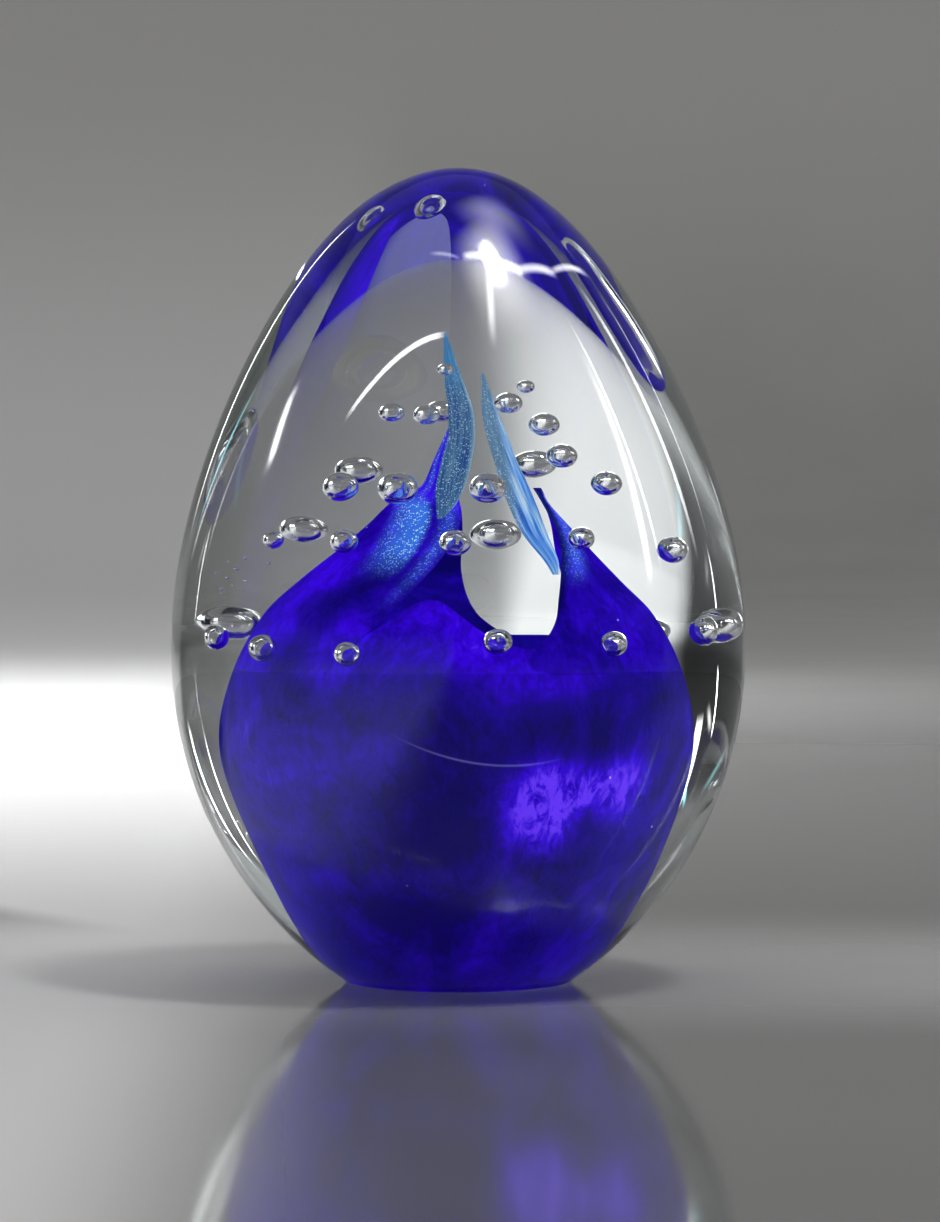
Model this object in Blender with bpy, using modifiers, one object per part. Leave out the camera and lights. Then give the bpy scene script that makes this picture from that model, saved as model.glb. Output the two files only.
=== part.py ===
"""Egg-shaped art-glass paperweight: clear gathers over a twisted cobalt veil with trapped bubbles.

Units are metres, +Z up. The origin is the centre of the ground flat base.
"""

from math import acos, atan2, cos, degrees, exp, pi, radians, sin, sqrt

import bmesh
import bpy
from mathutils import Vector

MM = 0.001

# Egg-shaped outer casing.
HEIGHT = 90.0 * MM              # flat base to tip
EGG_RADIUS = 31.4 * MM          # radius at mid height
EGG_LOW_END = -3.85 * MM        # where the egg would end below the ground base
EGG_TAPER = -0.340              # narrows the tip and fills the bottom
EGG_SHOULDER = -0.2275          # flattens both shoulders
EGG_TIP = 0.224                 # rounds the tip

# Middle gather: height, radius.
GATHER_OUTLINE = [
    (0.0, 9.3),
    (4.0, 12.2),
    (10.0, 15.6),
    (18.0, 18.9),
    (28.0, 20.5),
    (37.5, 19.6),
    (46.5, 16.4),
    (53.5, 12.3),
    (59.5, 7.9),
    (65.0, 4.2),
    (69.0, 2.0),
    (70.5, 0.0),
]

# Cobalt veil, an onion-shaped bulb whose upper part is opened into arms: height, radius.
VEIL_OUTLINE = [
    (0.0, 6.2),
    (3.0, 8.4),
    (6.5, 10.1),
    (12.5, 12.6),
    (20.0, 15.1),
    (28.5, 17.35),
    (34.5, 16.7),
    (40.0, 14.4),
    (43.0, 12.0),
    (46.5, 9.0),
    (50.0, 6.1),
    (53.0, 4.0),
]
VEIL_THICK = 0.9 * MM
ARM_THICK = 0.8 * MM
VEIL_CENTRE_SHIFT = 0.7 * MM    # the arms lean a little towards +X at the top
LEAN_START = 41.0 * MM          # height where the lean begins
LEAN_RISE = 10.0 * MM           # height over which it comes in
CORE_TOP = 48.5 * MM
POCKET_TOP = 54.0 * MM          # top of the hollow in the middle gather
POCKET_ROOF = 2.5 * MM          # height of the hollow's cone-shaped roof

# Lip of the bowl: a level edge with one arch at the front.
LIP_HEIGHT = 37.6 * MM
LIP_ARCH = 4.6 * MM
LIP_ARCH_AT = -12.0             # degrees from the front
LIP_ARCH_WIDTH = 22.0

# Arms: height and the two side edges, in degrees from the front (-Y), positive towards +X.
# The first row is the foot, which follows the lip of the bowl.
ARM_LEFT = [
    (38.0, -117, -37),
    (42.0, -112, -24),
    (46.0, -100, -13),
    (49.0, -80, -9),
    (51.5, -62, -14),
]
ARM_BACK = [
    (38.0, -196, -123),
    (41.0, -184, -126),
    (45.0, -180, -132),
    (48.0, -178, -142),
    (49.5, -176, -158),
]
ARM_RIGHT = [
    (38.0, 25, 152),
    (40.5, 38, 148),
    (44.0, 50, 142),
    (47.5, 64, 130),
    (50.0, 80, 116),
    (51.5, 90, 104),
]

# Strands in the twisted neck: x, y, z of the centre, width, turn of the flat side in degrees.
STRAND_COBALT = [
    (-3.1, -3.4, 52.4, 1.6, -30),
    (-2.0, -2.6, 55.0, 1.1, -25),
    (-1.4, -2.0, 58.0, 0.8, -10),
    (-1.25, -1.4, 60.6, 0.5, 0),
]
RIBBON_LEFT = [
    (-0.2, -5.4, 51.6, 0.9, 10),
    (-0.2, -4.7, 53.2, 2.1, 8),
    (0.0, -3.8, 55.8, 2.3, 3),
    (0.25, -2.8, 58.5, 1.9, -4),
    (-0.05, -1.8, 61.6, 1.2, -10),
    (-0.7, -1.0, 65.0, 0.6, -15),
]
RIBBON_RIGHT = [
    (7.6, -7.0, 45.6, 0.8, 45),
    (6.2, -5.5, 48.6, 1.8, 42),
    (4.6, -4.1, 51.6, 2.4, 36),
    (3.7, -2.6, 55.2, 2.3, 30),
    (2.9, -1.4, 58.4, 1.7, 24),
    (2.0, -0.5, 61.6, 1.0, 20),
    (1.4, -0.1, 64.6, 0.6, 20),
]
STRAND_THICK = 0.55 * MM

# Bubble rows between the two clear gathers: mean height of the row, then for each bubble its
# bearing (degrees from the front), its radius and how far it sits above the row.
BUBBLE_ROWS = {
    "a": (38.2, [(-140, 1.45, 0.2), (-87, 1.25, 0.0), (-61, 1.4, -0.6), (-31, 1.3, -0.8),
                 (11, 1.4, 0.5), (46, 1.35, 0.0), (91, 1.45, 0.5), (125, 1.5, 0.2),
                 (150, 1.3, -0.6)]),
    "b": (47.2, [(-147, 1.3, -0.7), (-73, 0.95, 0.5), (-40, 1.25, 1.0), (-1, 1.4, 1.1),
                 (44, 1.2, 1.2), (90, 1.35, -1.0), (173, 1.4, -1.4)]),
    "c": (53.1, [(-153, 1.4, -0.9), (-52, 1.55, 0.1), (-25, 1.75, 0.3), (12, 1.6, 0.4),
                 (71, 1.3, 0.0), (160, 1.35, -0.4), (54, 1.3, 3.0)]),
    "d": (60.0, [(-173, 1.1, -1.6), (-47, 1.05, 0.4), (-21, 1.1, 0.4), (37, 1.15, 1.4),
                 (56, 1.25, -0.9)]),
    "e": (63.6, [(-14, 0.65, 1.2), (64, 0.7, -0.9)]),
}

GAP = 0.3 * MM                  # clearance between neighbouring meshes
CORE_GAP = 1.8 * GAP            # clearance between the clear core and the bowl
SLOT_SPARE = 1.3                # slots for the strands are this much wider than the clearance
ROW_RISE = 0.3 * MM             # least height between two rows of an arm
WELD = 0.01 * MM                # points closer than this are merged
SEGMENTS = 36                   # facets around a turned piece
BUBBLE_SEGMENTS = 8
BUBBLE_RINGS = 6
SMOOTH_ANGLE = radians(40)


def clear_scene():
    for obj in list(bpy.data.objects):
        bpy.data.objects.remove(obj, do_unlink=True)


def make_collection(name):
    collection = bpy.data.collections.new(name)
    bpy.context.scene.collection.children.link(collection)
    return collection


def make_material(name, colour, roughness, transmission, metallic=0.0):
    material = bpy.data.materials.new(name)
    material.use_nodes = True
    shader = material.node_tree.nodes["Principled BSDF"]
    shader.inputs["Base Color"].default_value = (*colour, 1.0)
    shader.inputs["Roughness"].default_value = roughness
    shader.inputs["Metallic"].default_value = metallic
    shader.inputs["Transmission Weight"].default_value = transmission
    shader.inputs["IOR"].default_value = 1.5
    material.diffuse_color = (*colour, 1.0)
    return material


def clear_glass():
    return make_material("clear_glass", (0.95, 0.98, 0.98), 0.0, 1.0)


def cobalt_glass():
    return make_material("cobalt_glass", (0.02, 0.0, 0.42), 0.05, 0.3)


def aqua_glass():
    return make_material("aqua_glass", (0.13, 0.38, 0.62), 0.2, 0.3, 0.2)


def trapped_air():
    return make_material("trapped_air", (1.0, 1.0, 1.0), 0.0, 1.0)


def egg_radius(z):
    """Radius of the egg at height z."""
    half = (HEIGHT - EGG_LOW_END) / 2
    u = (z - EGG_LOW_END) / half - 1
    swell = 1 + EGG_TAPER * u + EGG_SHOULDER * u ** 2 + EGG_TIP * u ** 3
    return EGG_RADIUS * sqrt(max(0.0, (1 - u * u) * swell))


def egg_outline(count):
    """Points down the egg, closer together where it curves most."""
    half = (HEIGHT - EGG_LOW_END) / 2
    base_angle = acos(-EGG_LOW_END / half - 1)
    points = []
    for i in range(count + 1):
        angle = base_angle * i / count
        z = EGG_LOW_END + half * (1 + cos(angle))
        points.append((egg_radius(z), z))
    points[0] = (0.0, HEIGHT)
    points[-1] = (egg_radius(0.0), 0.0)
    return points


def outline_radius(outline, z):
    """Radius of a smooth curve through the outline's points, at height z (metres)."""
    z = z / MM
    last = len(outline) - 1
    if z <= outline[0][0]:
        return outline[0][1] * MM
    if z >= outline[last][0]:
        return outline[last][1] * MM
    i = max(k for k in range(last) if outline[k][0] <= z)
    z0, r0 = outline[i]
    z1, r1 = outline[i + 1]
    before = outline[max(i - 1, 0)]
    after = outline[min(i + 2, last)]
    slope0 = (r1 - before[1]) / (z1 - before[0])
    slope1 = (after[1] - r0) / (after[0] - z0)
    t = (z - z0) / (z1 - z0)
    span = z1 - z0
    value = (2 * t ** 3 - 3 * t ** 2 + 1) * r0 + (t ** 3 - 2 * t ** 2 + t) * span * slope0
    value += (3 * t ** 2 - 2 * t ** 3) * r1 + (t ** 3 - t ** 2) * span * slope1
    return value * MM


def veil_radius(z):
    return outline_radius(VEIL_OUTLINE, z)


def veil_inset(z, depth):
    """Radius at height z of a surface that lies the given depth inside the veil."""
    step = 0.5 * MM
    slope = (veil_radius(z + step) - veil_radius(z - step)) / (2 * step)
    return veil_radius(z) - depth * sqrt(1 + slope * slope)


def veil_shift(z):
    """How far the veil leans towards +X at height z."""
    t = min(1.0, max(0.0, (z - LEAN_START) / LEAN_RISE))
    return VEIL_CENTRE_SHIFT * t * t * (3 - 2 * t)


def lip_height(bearing):
    """Height of the bowl's lip at a bearing in degrees."""
    away = (bearing - LIP_ARCH_AT + 180) % 360 - 180
    return LIP_HEIGHT + LIP_ARCH * exp(-(away / LIP_ARCH_WIDTH) ** 2)


def veil_point(z, bearing):
    """Point on the outer face of the veil."""
    r = veil_radius(z)
    a = radians(bearing)
    return Vector((r * sin(a) + veil_shift(z), -r * cos(a), z))


def mesh_object(name, mesh, collection, material):
    obj = bpy.data.objects.new(name, mesh)
    collection.objects.link(obj)
    if material is not None:
        mesh.materials.append(material)
    return obj


def smooth(mesh):
    mesh.shade_smooth()
    mesh.set_sharp_from_angle(angle=SMOOTH_ANGLE)


def turned(name, outline, collection, material):
    """Solid of revolution about Z; the outline runs from the top of the axis to its other end."""
    mesh = bpy.data.meshes.new(name)
    points = [(r, 0.0, z) for r, z in outline]
    edges = [(i, i + 1) for i in range(len(points) - 1)]
    mesh.from_pydata(points, edges, [])
    obj = mesh_object(name, mesh, collection, material)
    screw = obj.modifiers.new("Turn", "SCREW")
    screw.axis = "Z"
    screw.angle = 2 * pi
    screw.steps = SEGMENTS
    screw.render_steps = SEGMENTS
    screw.use_merge_vertices = True
    screw.merge_threshold = WELD
    screw.use_smooth_shade = True
    return obj


def pit_cutters(collection):
    """One cutter for every bubble pit, each a little larger than its bubble."""
    cutters = []
    for name, centre, radius in bubble_places():
        bpy.ops.mesh.primitive_uv_sphere_add(
            segments=BUBBLE_SEGMENTS, ring_count=BUBBLE_RINGS, radius=radius + GAP, location=centre)
        cutter = bpy.context.object
        cutter.name = "pit_" + name
        cutter.hide_render = True
        cutter.display_type = "WIRE"
        for owner in list(cutter.users_collection):
            owner.objects.unlink(cutter)
        collection.objects.link(cutter)
        cutters.append(cutter)
    return cutters


def join_cutters(cutters, name):
    """Join cutters that do not touch into one object."""
    with bpy.context.temp_override(active_object=cutters[0], selected_editable_objects=cutters):
        bpy.ops.object.join()
    cutters[0].name = name
    return cutters[0]


def cut(obj, cutter):
    boolean = obj.modifiers.new("Cut " + cutter.name, "BOOLEAN")
    boolean.operation = "DIFFERENCE"
    boolean.solver = "EXACT"
    boolean.object = cutter


def bubble_places():
    """Name, centre and radius of every bubble, on the face between the two gathers."""
    places = []
    for row, (height, bubbles) in BUBBLE_ROWS.items():
        for number, (bearing, radius, lift) in enumerate(bubbles, start=1):
            a = radians(bearing)
            z = (height + lift) * MM
            r = outline_radius(GATHER_OUTLINE, z) + GAP / 2
            centre = Vector((r * sin(a), -r * cos(a), z))
            places.append((row + str(number), centre, radius * MM))
    return places


def make_casing(collection, glass, pits):
    """Clear egg with a pocket for the middle gather, open at the ground base."""
    outline = egg_outline(18)
    for z, r in GATHER_OUTLINE[:-1]:
        outline.append((r * MM + GAP, z * MM))
    outline.append((0.0, GATHER_OUTLINE[-1][0] * MM + GAP))
    casing = turned("outer_casing", outline, collection, glass)
    cut(casing, pits)
    return casing


def make_gather(collection, glass, pits, strand_cutters):
    """Clear gather with a hollow for the veil, open at the base."""
    outline = [(r * MM, z * MM) for z, r in reversed(GATHER_OUTLINE)]
    steps = 15
    for i in range(steps):
        z = (POCKET_TOP - POCKET_ROOF) * i / (steps - 1)
        outline.append((veil_radius(z) + veil_shift(z) + GAP, z))
    outline.append((0.0, POCKET_TOP))
    gather = turned("middle_gather", outline, collection, glass)
    cut(gather, pits)
    for cutter in strand_cutters:
        cut(gather, cutter)
    return gather


def make_bowl(collection, glass):
    """Cobalt bulb: a turned wall and floor whose lip is pulled into an arch, then thickened."""
    mesh = bpy.data.meshes.new("cobalt_bowl")
    bm = bmesh.new()
    steps = 12
    base_radius = veil_radius(0.0)
    profile = [bm.verts.new((0.0, 0.0, 0.0)), bm.verts.new((base_radius, 0.0, 0.0))]
    for i in range(1, steps + 1):
        z = LIP_HEIGHT * i / steps
        profile.append(bm.verts.new((veil_radius(z), 0.0, z)))
    edges = [bm.edges.new((profile[i], profile[i + 1])) for i in range(len(profile) - 1)]
    bmesh.ops.spin(bm, geom=profile + edges, axis=(0, 0, 1), cent=(0, 0, 0),
                   angle=2 * pi, steps=SEGMENTS, use_merge=True)
    bmesh.ops.remove_doubles(bm, verts=bm.verts, dist=WELD)
    for vert in bm.verts:
        bearing = degrees(atan2(vert.co.x, -vert.co.y))
        share = max(0.0, vert.co.z / LIP_HEIGHT - 0.5) * 2
        if share > 0:
            z = vert.co.z + share * (lip_height(bearing) - LIP_HEIGHT)
            vert.co = veil_point(z, bearing)
    bmesh.ops.recalc_face_normals(bm, faces=bm.faces)
    bm.to_mesh(mesh)
    bm.free()
    bowl = mesh_object("cobalt_bowl", mesh, collection, glass)
    thicken(bowl, VEIL_THICK)
    smooth(mesh)
    return bowl


def thicken(obj, thickness):
    """Give an open surface its thickness, on the side away from its normals."""
    solid = obj.modifiers.new("Thickness", "SOLIDIFY")
    solid.thickness = thickness
    solid.offset = -1.0
    solid.use_even_offset = False


def make_core(collection, glass):
    """Clear glass inside the bowl, rounded over at its top."""
    inset = VEIL_THICK + CORE_GAP
    floor = inset
    steps = 14
    outline = [(0.0, CORE_TOP)]
    for i in range(1, steps + 1):
        angle = pi / 2 * i / steps
        z = floor + (CORE_TOP - floor) * cos(angle)
        outline.append((veil_inset(z, inset), z))
    outline.append((0.0, floor))
    return turned("clear_core", outline, collection, glass)


def blend_rows(rows, t):
    """Row of values at share t of the way along a list of rows, with even steps."""
    last = len(rows) - 1
    i = min(int(t * last), last - 1)
    f = t * last - i
    p0 = rows[max(i - 1, 0)]
    p1 = rows[i]
    p2 = rows[i + 1]
    p3 = rows[min(i + 2, last)]
    values = []
    for a, b, c, d in zip(p0, p1, p2, p3):
        part = 2 * b + (c - a) * f + (2 * a - 5 * b + 4 * c - d) * f ** 2
        part += (3 * b - a - 3 * c + d) * f ** 3
        values.append(part / 2)
    return values


def make_arm(name, rows, collection, glass):
    """Cobalt arm: part of the veil's surface between two edges, standing on the bowl's lip."""
    across = 8
    along = 9
    mesh = bpy.data.meshes.new(name)
    bm = bmesh.new()
    grid = []
    for j in range(along + 1):
        v = j / along
        height, left, right = blend_rows(rows, v)
        line = []
        for i in range(across + 1):
            bearing = left + (right - left) * i / across
            foot = lip_height(bearing) + GAP
            z = foot + (height * MM - foot) * v if j < along else height * MM
            z = max(z, foot + ROW_RISE * j)
            line.append(bm.verts.new(veil_point(z, bearing)))
        grid.append(line)
    for low, high in zip(grid, grid[1:]):
        for i in range(across):
            bm.faces.new((low[i], low[i + 1], high[i + 1], high[i]))
    bm.to_mesh(mesh)
    bm.free()
    arm = mesh_object(name, mesh, collection, glass)
    thicken(arm, ARM_THICK)
    smooth(mesh)
    return arm


def make_strand(name, rows, collection, glass, pad=0.0):
    """Thin twisted strand: a lens-shaped section lofted along its centre line."""
    sides = 8
    sections = 3 * (len(rows) - 1)
    mesh = bpy.data.meshes.new(name)
    bm = bmesh.new()
    rings = []
    for j in range(sections + 1):
        x, y, z, width, turn = blend_rows(rows, j / sections)
        lift = 0.0
        if j == 0:
            lift = -pad
        if j == sections:
            lift = pad
        a = radians(turn)
        flat = Vector((cos(a), sin(a), 0.0))
        out = Vector((sin(a), -cos(a), 0.0))
        centre = Vector((x * MM, y * MM, z * MM + lift))
        ring = []
        for k in range(sides):
            b = 2 * pi * k / sides
            half_width = width * MM / 2 + pad * SLOT_SPARE
            half_thick = STRAND_THICK / 2 + pad * SLOT_SPARE
            ring.append(bm.verts.new(centre + flat * half_width * cos(b) + out * half_thick * sin(b)))
        rings.append(ring)
    for low, high in zip(rings, rings[1:]):
        for k in range(sides):
            n = (k + 1) % sides
            bm.faces.new((low[k], low[n], high[n], high[k]))
    bm.faces.new(list(reversed(rings[0])))
    bm.faces.new(rings[-1])
    bmesh.ops.recalc_face_normals(bm, faces=bm.faces)
    bm.to_mesh(mesh)
    bm.free()
    strand = mesh_object(name, mesh, collection, glass)
    smooth(mesh)
    return strand


def make_bubble(name, centre, radius, collection, air):
    bpy.ops.mesh.primitive_uv_sphere_add(
        segments=BUBBLE_SEGMENTS, ring_count=BUBBLE_RINGS, radius=radius, location=centre)
    bubble = bpy.context.object
    bubble.name = "bubble_" + name
    bubble.data.materials.append(air)
    smooth(bubble.data)
    for owner in list(bubble.users_collection):
        owner.objects.unlink(bubble)
    collection.objects.link(bubble)
    return bubble


def main():
    clear_scene()
    parts = make_collection("egg_paperweight")
    cutters = make_collection("cutters")
    clear = clear_glass()
    cobalt = cobalt_glass()
    aqua = aqua_glass()
    air = trapped_air()
    strands = {
        "cobalt_strand": (STRAND_COBALT, cobalt),
        "aqua_ribbon_left": (RIBBON_LEFT, aqua),
        "aqua_ribbon_right": (RIBBON_RIGHT, aqua),
    }
    strand_cutters = []
    for name, (rows, glass) in strands.items():
        cutter = make_strand("slot_" + name, rows, cutters, None, pad=GAP)
        cutter.hide_render = True
        cutter.display_type = "WIRE"
        strand_cutters.append(cutter)
        make_strand(name, rows, parts, glass)
    pits = join_cutters(pit_cutters(cutters), "bubble_pits")
    make_casing(parts, clear, pits)
    make_gather(parts, clear, pits, strand_cutters)
    make_bowl(parts, cobalt)
    make_core(parts, clear)
    make_arm("veil_arm_left", ARM_LEFT, parts, cobalt)
    make_arm("veil_arm_back", ARM_BACK, parts, cobalt)
    make_arm("veil_arm_right", ARM_RIGHT, parts, cobalt)
    for name, centre, radius in bubble_places():
        make_bubble(name, centre, radius, parts, air)


main()
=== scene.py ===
"""Visual model of the egg-shaped art-glass paperweight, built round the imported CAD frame."""

from math import acos, cos, exp, pi, radians, sin, sqrt, tan

import bmesh
import bpy
from mathutils import Matrix, Vector, noise


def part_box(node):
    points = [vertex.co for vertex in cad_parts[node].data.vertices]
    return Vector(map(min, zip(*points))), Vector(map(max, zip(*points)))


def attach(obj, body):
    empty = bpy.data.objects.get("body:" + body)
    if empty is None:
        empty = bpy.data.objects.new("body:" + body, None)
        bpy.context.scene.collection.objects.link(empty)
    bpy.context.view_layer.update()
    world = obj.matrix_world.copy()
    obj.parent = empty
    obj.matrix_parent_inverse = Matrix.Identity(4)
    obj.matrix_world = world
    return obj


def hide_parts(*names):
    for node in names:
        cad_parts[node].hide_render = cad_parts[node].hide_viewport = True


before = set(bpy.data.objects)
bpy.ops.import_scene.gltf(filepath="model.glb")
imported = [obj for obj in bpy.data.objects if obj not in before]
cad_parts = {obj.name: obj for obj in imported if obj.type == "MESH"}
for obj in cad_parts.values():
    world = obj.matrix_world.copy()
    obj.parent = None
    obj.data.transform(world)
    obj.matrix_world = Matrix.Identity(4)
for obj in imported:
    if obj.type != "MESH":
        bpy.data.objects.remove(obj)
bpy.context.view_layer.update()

MM = 0.001
GLASS_IOR = 1.5

# Height read from the CAD model.
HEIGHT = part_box("outer_casing")[1][2]

# Egg outline, as in the CAD model: radius, flat end below the base and three shape terms.
EGG_RADIUS = 31.4 * MM
EGG_LOW_END = -3.85 * MM
EGG_TAPER = -0.340
EGG_SHOULDER = -0.2275
EGG_TIP = 0.224
EGG_LEAN = -0.3 * MM    # the upper egg leans this far along X
FOOT_EDGE = 0.5 * MM    # height of the rounded edge round the ground base
FOOT_STEPS = 6

# Veil outline in millimetres: height, radius.
VEIL_OUTLINE = [
    (0.0, 6.2), (3.0, 8.4), (6.5, 10.1), (12.5, 12.6), (20.0, 15.1), (28.5, 17.35),
    (34.5, 16.7), (40.0, 14.4), (43.0, 12.0), (46.5, 9.0), (50.0, 6.1), (53.0, 4.0),
    (56.0, 2.6), (60.0, 1.5), (65.0, 0.8),
]
VEIL_LEAN = 0.7         # the arms lean this far along X, between two heights
LEAN_START = 41
LEAN_END = 51

# Lip of the bowl: height, and the arch at its front with its bearing and width in degrees.
LIP_HEIGHT = 37.6
LIP_ARCH = 4.8
LIP_ARCH_AT = -11.0
LIP_ARCH_WIDTH = 20.0
BOWL_FOOT = 0.15        # underside of the bowl, just above the ground base
BOWL_FLOOR = 1.0        # thickness of its floor
UNDERLIGHT_FADE = (16, 26)   # heights between which the painted light on the paler inside of the bowl fades out
RIPPLE = 0.35           # unevenness of the bowl and the arms

# Density of the meshes: points round and rings or rows along.
EGG_AROUND, EGG_RINGS = 192, 150
BOWL_AROUND, BOWL_ROWS = 240, 90
ARM_ALONG, ARM_ACROSS = 100, 56
RIBBON_ALONG, RIBBON_ACROSS = 110, 28
BUBBLE_AROUND, BUBBLE_RINGS = 40, 24


# ---------------------------------------------------------------- geometry helpers

def curve_through(rows, t):
    """Catmull-Rom blend of a list of rows, with t from 0 to 1."""
    last = len(rows) - 1
    i = min(int(t * last), last - 1)
    f = t * last - i
    p0, p1, p2, p3 = rows[max(i - 1, 0)], rows[i], rows[i + 1], rows[min(i + 2, last)]
    out = []
    for a, b, c, d in zip(p0, p1, p2, p3):
        out.append(b + 0.5 * f * (c - a + f * (2 * a - 5 * b + 4 * c - d
                                               + f * (3 * b - a - 3 * c + d))))
    return out


def smoothstep(low, high, x):
    """0 at low, 1 at high, smooth at both ends."""
    t = min(1.0, max(0.0, (x - low) / (high - low)))
    return t * t * (3 - 2 * t)


def outline_radius(outline, z):
    """Radius at height z of the smooth curve through an outline (millimetres)."""
    last = len(outline) - 1
    if z <= outline[0][0]:
        return outline[0][1]
    if z >= outline[last][0]:
        return outline[last][1]
    i = max(k for k in range(last) if outline[k][0] <= z)
    z0, r0 = outline[i]
    z1, r1 = outline[i + 1]
    before = outline[max(i - 1, 0)]
    after = outline[min(i + 2, last)]
    m0 = (r1 - before[1]) / (z1 - before[0])
    m1 = (after[1] - r0) / (after[0] - z0)
    t = (z - z0) / (z1 - z0)
    s = z1 - z0
    return ((2 * t ** 3 - 3 * t ** 2 + 1) * r0 + (t ** 3 - 2 * t ** 2 + t) * s * m0
            + (3 * t ** 2 - 2 * t ** 3) * r1 + (t ** 3 - t ** 2) * s * m1)


def veil_radius(z):
    """Radius of the veil at height z, in millimetres."""
    return outline_radius(VEIL_OUTLINE, z)


def veil_shift(z):
    """How far the arms lean towards +X at height z (millimetres)."""
    return VEIL_LEAN * smoothstep(LEAN_START, LEAN_END, z)


def veil_point(z, bearing, proud=0.0):
    """Point on the veil in metres; bearing in degrees from the front, proud in millimetres."""
    r = veil_radius(z) + proud
    a = radians(bearing)
    return Vector((r * sin(a) + veil_shift(z), -r * cos(a), z)) * MM


def lip_height(bearing):
    """Height of the bowl's lip in millimetres."""
    away = (bearing - LIP_ARCH_AT + 180) % 360 - 180
    return LIP_HEIGHT + LIP_ARCH * exp(-(away / LIP_ARCH_WIDTH) ** 2)


def new_piece(name, verts, faces, material, uvs=None):
    """Smooth-shaded mesh object from points and faces."""
    mesh = bpy.data.meshes.new(name)
    mesh.from_pydata([tuple(v) for v in verts], [], faces)
    if uvs is not None:
        layer = mesh.uv_layers.new(name="UVMap")
        for loop in mesh.loops:
            layer.data[loop.index].uv = uvs[loop.vertex_index]
    obj = bpy.data.objects.new(name, mesh)
    bpy.context.scene.collection.objects.link(obj)
    mesh.materials.append(material)
    mesh.shade_smooth()
    return obj


def paint(obj, name, values):
    """Store one number for each point, for the material to read."""
    layer = obj.data.attributes.new(name, "FLOAT", "POINT")
    layer.data.foreach_set("value", values)


def fix_normals(obj):
    """Turn all faces outwards."""
    bm = bmesh.new()
    bm.from_mesh(obj.data)
    bmesh.ops.recalc_face_normals(bm, faces=bm.faces)
    bm.to_mesh(obj.data)
    bm.free()


# ---------------------------------------------------------------- material helpers

def new_material(name):
    """Node material with its tree and its Principled shader."""
    material = bpy.data.materials.new(name)
    material.use_nodes = True
    tree = material.node_tree
    return material, tree, tree.nodes["Principled BSDF"]


def add(tree, kind, inputs=None, **settings):
    """Add a node; an input is a constant, or a socket to link from."""
    node = tree.nodes.new(kind)
    for key, value in settings.items():
        setattr(node, key, value)
    for key, value in (inputs or {}).items():
        socket = node.inputs[key]
        if isinstance(value, bpy.types.NodeSocket):
            tree.links.new(value, socket)
        else:
            socket.default_value = value
    return node


def millimetres(tree, scale=(1.0, 1.0, 1.0), turn=(0.0, 0.0, 0.0)):
    """Object coordinates in millimetres, optionally stretched."""
    coords = add(tree, "ShaderNodeTexCoord")
    node = add(tree, "ShaderNodeMapping", {"Vector": coords.outputs["Object"],
                                           "Scale": [1000 * s for s in scale],
                                           "Rotation": turn})
    return node.outputs["Vector"]


def noise_at(tree, vector, scale, detail=4.0, rough=0.55, distort=0.0):
    """Noise from 0 to 1; scale is how many waves fit in a unit of the vector."""
    node = add(tree, "ShaderNodeTexNoise", {"Vector": vector, "Scale": scale, "Detail": detail,
                                            "Roughness": rough, "Distortion": distort})
    return node.outputs["Fac"]


def ramp(tree, fac, stops):
    """Colour ramp; each stop is a position and a colour."""
    node = add(tree, "ShaderNodeValToRGB", {"Fac": fac})
    elements = node.color_ramp.elements
    while len(elements) < len(stops):
        elements.new(0.5)
    for element, (place, colour) in zip(elements, stops):
        element.position = place
        element.color = (*colour, 1.0)
    return node.outputs["Color"]


def mix(tree, fac, a, b):
    """Blend of two colours; each one is a socket or three numbers."""
    node = add(tree, "ShaderNodeMix", data_type="RGBA")
    for socket, value in (("Factor", fac), ("A", a), ("B", b)):
        target = [s for s in node.inputs if s.name == socket and s.enabled][0]
        if isinstance(value, bpy.types.NodeSocket):
            tree.links.new(value, target)
        else:
            target.default_value = (*value, 1.0) if isinstance(value, tuple) else value
    return [s for s in node.outputs if s.name == "Result" and s.enabled][0]


def math(tree, kind, a, b=0.0, clamp=False):
    node = add(tree, "ShaderNodeMath", {0: a, 1: b}, operation=kind, use_clamp=clamp)
    return node.outputs[0]


def product(tree, *factors):
    """Product of several masks."""
    result = factors[0]
    for factor in factors[1:]:
        result = math(tree, "MULTIPLY", result, factor)
    return result


def glitter_mask(tree, place, cell, share, reach=0.42):
    """1 on a share of random cells (cell is how many fit in a millimetre), 0 elsewhere."""
    cells = add(tree, "ShaderNodeTexVoronoi", {"Vector": place, "Scale": cell})
    value = add(tree, "ShaderNodeSeparateColor", {"Color": cells.outputs["Color"]})
    flake = math(tree, "GREATER_THAN", value.outputs["Red"], 1 - share)
    near = math(tree, "LESS_THAN", cells.outputs["Distance"], reach)
    return math(tree, "MULTIPLY", flake, near)


def map_range(tree, value, low, high, to_low=0.0, to_high=1.0):
    """Smooth step from to_low at low to to_high at high."""
    node = add(tree, "ShaderNodeMapRange", {"Value": value, "From Min": low, "From Max": high,
                                            "To Min": to_low, "To Max": to_high},
               interpolation_type="SMOOTHSTEP")
    return node.outputs["Result"]


def attribute(tree, name):
    """Number painted on the points of a piece."""
    return add(tree, "ShaderNodeAttribute", attribute_name=name).outputs["Fac"]


def bump(tree, height, strength, distance):
    node = add(tree, "ShaderNodeBump", {"Height": height, "Strength": strength,
                                        "Distance": distance})
    return node.outputs["Normal"]


# ---------------------------------------------------------------- materials

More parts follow.
